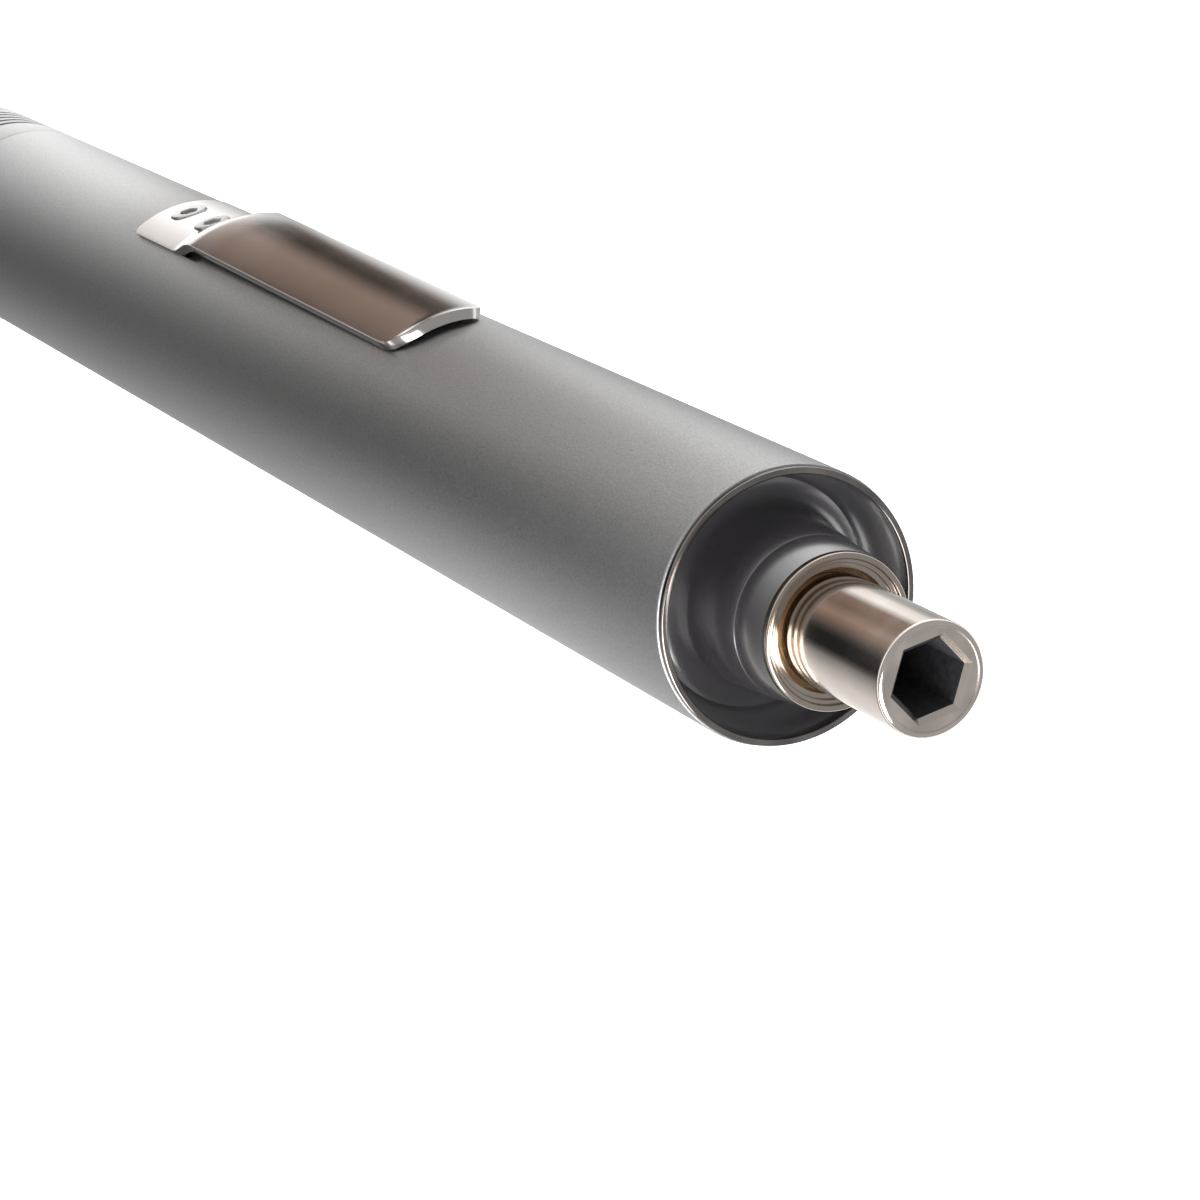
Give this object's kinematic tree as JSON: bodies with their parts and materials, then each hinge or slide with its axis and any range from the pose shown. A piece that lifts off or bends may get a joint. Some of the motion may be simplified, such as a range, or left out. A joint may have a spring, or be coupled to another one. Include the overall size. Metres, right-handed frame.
{
  "type": "lens cleaning pen",
  "caption": "Battery-powered rotary lens cleaning pen body with pocket clip, dished nose, hexagonal drive socket and screw-off tail switch; cleaning head off.",
  "frame": {"origin": "middle of the foot ring of the tail cap, on the surface that the pen stands on", "axes": "+Z along the pen's axis from the tail to the nose, +X towards the middle of the pocket clip, +Y completes the right-handed frame"},
  "size_m": [0.0184, 0.017, 0.168],
  "materials": {
    "bead_blasted_aluminium": "fine bead-blasted grey anodising",
    "turned_aluminium": "turned and satin anodised",
    "dark_nickel": "polished dark nickel",
    "warm_nickel": "mirror-polished warm nickel",
    "gloss_black": "moulded, high gloss",
    "matte_black": "moulded, fine matt",
    "nylon_white": "natural nylon",
    "clear_sleeve": "translucent sleeve",
    "sintered_bronze": "oil-filled sintered bronze",
    "brass": "turned brass",
    "copper_wire": "enamelled copper",
    "spring_steel": "bright spring wire",
    "steel": "plain bright steel",
    "polished_steel": "polished stainless strip",
    "magnet_black": "ferrite",
    "magnet_nickel": "nickel-plated magnet",
    "rubber_black": "nitrile rubber",
    "cell_can": "plated cell can",
    "cell_jacket": "shrink-wrapped film",
    "laminations": "stacked laminations"
  },
  "bodies": {
    "barrel_unit": {"barrel": "bead_blasted_aluminium", "bezel_ring": "dark_nickel", "nose_cup": "gloss_black", "nose_collar": "gloss_black", "ferrule_ring": "warm_nickel", "spindle_front_bush": "sintered_bronze", "spindle_rear_bush": "sintered_bronze", "motor_cradle": "nylon_white", "motor_can": "steel", "motor_magnets": "magnet_black", "motor_end_bell": "matte_black", "motor_front_bush": "sintered_bronze", "motor_rear_bush": "sintered_bronze", "motor_brushes": "brass", "motor_terminals": "brass", "feed_strap": "brass", "ground_clip": "spring_steel", "contact_plate": "matte_black", "front_contact": "brass", "battery_cells": "cell_can", "battery_jackets": "cell_jacket", "battery_liner": "clear_sleeve", "clip_base": "polished_steel", "clip_screws": "steel"},
    "spindle_unit": {"drive_spindle": "warm_nickel", "socket_magnet": "magnet_nickel", "spindle_circlip": "spring_steel", "thrust_washer": "steel", "shaft_coupling": "brass", "coupling_screws": "steel", "motor_shaft": "steel", "armature_core": "laminations", "armature_windings": "copper_wire", "commutator": "brass"},
    "clip_unit": {"clip_arm": "polished_steel"},
    "spring_unit": {"tail_spring": "spring_steel"},
    "cap_unit": {"tail_cap": "bead_blasted_aluminium", "tail_o_ring": "rubber_black", "switch_housing": "matte_black", "switch_contacts": "brass", "switch_return_spring": "spring_steel", "switch_lid": "matte_black", "spring_seat": "brass", "switch_retainer": "brass"},
    "button_unit": {"tail_button": "turned_aluminium", "switch_plunger": "nylon_white", "contact_bridge": "brass"}
  },
  "joints": [
    {"name": "spindle_spin", "type": "hinge", "parent": "barrel_unit", "child": "spindle_unit", "pos_m": [0, 0, 0.15], "axis": [0, 0, 1], "continuous": true},
    {"name": "clip_flex", "type": "hinge", "parent": "barrel_unit", "child": "clip_unit", "pos_m": [0.0092, 0, 0.06983], "axis": [0, 1, 0], "range_deg": [0, 4], "stiffness_Nm_per_rad": 4},
    {"name": "tail_cap_travel", "type": "slide", "parent": "barrel_unit", "child": "spring_unit", "axis": [0, 0, -1], "range_m": [0, 0.009]},
    {"name": "tail_cap_turn", "type": "hinge", "parent": "spring_unit", "child": "cap_unit", "pos_m": [0, 0, 0.016], "axis": [0, 0, -1], "range_deg": [0, 3240]},
    {"name": "button_press", "type": "slide", "parent": "cap_unit", "child": "button_unit", "axis": [0, 0, 1], "range_m": [0, 0.0012], "stiffness_N_per_m": 1500, "springref_m": -0.0005, "deforming": ["switch_return_spring"]}
  ],
  "couplings": [
    {"joint": "tail_cap_turn", "follows": "tail_cap_travel", "rad_per_m": 6283.2}
  ]
}
